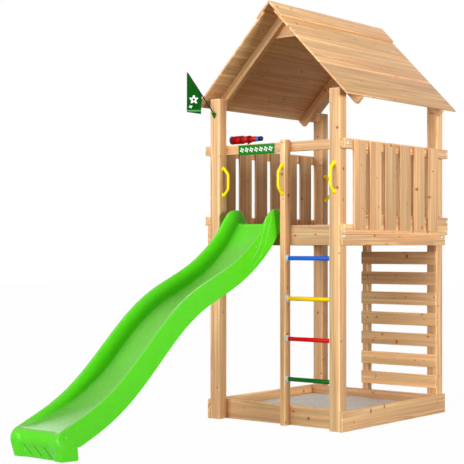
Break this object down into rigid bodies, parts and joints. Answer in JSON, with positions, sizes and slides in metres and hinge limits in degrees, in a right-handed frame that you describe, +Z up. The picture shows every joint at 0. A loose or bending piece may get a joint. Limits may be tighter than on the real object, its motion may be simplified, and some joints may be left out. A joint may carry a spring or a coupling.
{
  "type": "play tower with slide",
  "caption": "Wooden play tower with a gable roof, wavy slide, rung ladder, slatted climbing wall, sandbox, palisade sides, toy telescope and pennant.",
  "frame": {"origin": "middle of the tower's post footprint, on the ground", "axes": "+Z up, -Y towards the side with the slide and the ladder, +X to the ladder's side"},
  "size_m": [1.3881, 3.5823, 3.0672],
  "materials": {
    "pine": "planed, pressure treated, light honey with darker grain",
    "sand": "fine dry play sand",
    "slide_plastic": "moulded, satin gloss",
    "yellow_plastic": "moulded, satin gloss",
    "rung_green": "coated, satin",
    "rung_red": "coated, satin",
    "rung_yellow": "coated, satin",
    "rung_blue": "coated, satin",
    "telescope_plastic": "moulded, glossy",
    "bracket_metal": "dark powder coat",
    "pole_plastic": "dark, satin",
    "flag_fabric": "woven, matte",
    "sign_plastic": "plain sheet, satin"
  },
  "bodies": {
    "tower": {"climbing_wall": "pine", "deck_beam_front": "pine", "deck_beam_left": "pine", "deck_beam_rear": "pine", "deck_beam_right": "pine", "deck_floor": "pine", "flag_cloth": "flag_fabric", "flag_pole": "pole_plastic", "handle_front_post": "yellow_plastic", "handle_rear_post": "yellow_plastic", "handle_slide_left": "yellow_plastic", "handle_stile": "yellow_plastic", "ladder_stile": "pine", "palisade_left_1": "pine", "palisade_left_2": "pine", "palisade_left_3": "pine", "palisade_left_4": "pine", "palisade_left_5": "pine", "palisade_left_6": "pine", "palisade_right_1": "pine", "palisade_right_2": "pine", "palisade_right_3": "pine", "palisade_right_4": "pine", "palisade_right_5": "pine", "palisade_right_6": "pine", "post_front_left": "pine", "post_front_right": "pine", "post_rear_left": "pine", "post_rear_right": "pine", "rafter_front_left": "pine", "rafter_front_right": "pine", "rafter_rear_left": "pine", "rafter_rear_right": "pine", "rail_low_left": "pine", "rail_low_right": "pine", "rail_top_front": "pine", "rail_top_left": "pine", "rail_top_right": "pine", "ridge_board_left": "pine", "ridge_board_right": "pine", "roof_board_eave_left": "pine", "roof_board_eave_right": "pine", "roof_board_middle_left": "pine", "roof_board_middle_right": "pine", "roof_board_upper_left": "pine", "roof_board_upper_right": "pine", "rung_blue": "rung_blue", "rung_green": "rung_green", "rung_red": "rung_red", "rung_yellow": "rung_yellow", "sand_bed": "sand", "sandbox_board_front": "pine", "sandbox_board_left": "pine", "sandbox_board_rear": "pine", "sandbox_board_right": "pine", "sign_plate": "sign_plastic", "slide": "slide_plastic", "telescope_bracket": "bracket_metal"},
    "telescope_fork": {"telescope_fork": "bracket_metal"},
    "telescope_tube": {"telescope_tube": "telescope_plastic"}
  },
  "joints": [
    {"name": "telescope_pan", "type": "hinge", "parent": "tower", "child": "telescope_fork", "pos_m": [-0.372, -0.5174, 2.0343], "axis": [0, 0, 1], "range_deg": [-120, 10]},
    {"name": "telescope_tilt", "type": "hinge", "parent": "telescope_fork", "child": "telescope_tube", "pos_m": [-0.372, -0.5174, 2.057], "axis": [0, 1, 0], "range_deg": [-10, 10]}
  ]
}
